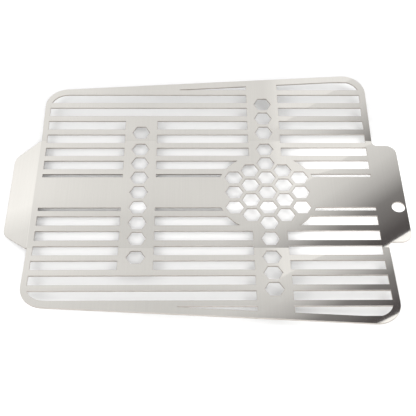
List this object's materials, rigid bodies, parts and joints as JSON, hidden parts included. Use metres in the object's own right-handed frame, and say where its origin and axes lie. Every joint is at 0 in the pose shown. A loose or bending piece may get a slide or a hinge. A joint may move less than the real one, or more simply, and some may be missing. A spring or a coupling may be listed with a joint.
{
  "type": "motorcycle radiator guard",
  "caption": "Slotted stainless radiator guard for a motorcycle: a tapering folded plate with raised wings, windowed cross bands, a bent end tab and a holed fixing tab.",
  "frame": {"origin": "middle of the bounding box in X and Y, at the level of the lowest edge, which is the tip of the bent tab", "axes": "+X along the slots from the bent tab to the holed tab, +Y across the plate, +Z out of the front face"},
  "size_m": [0.349, 0.2806, 0.0138],
  "materials": {
    "brushed_sheet": "finely brushed across the slots, near mirror"
  },
  "bodies": {
    "root": {"guard_sheet": "brushed_sheet"}
  },
  "joints": []
}
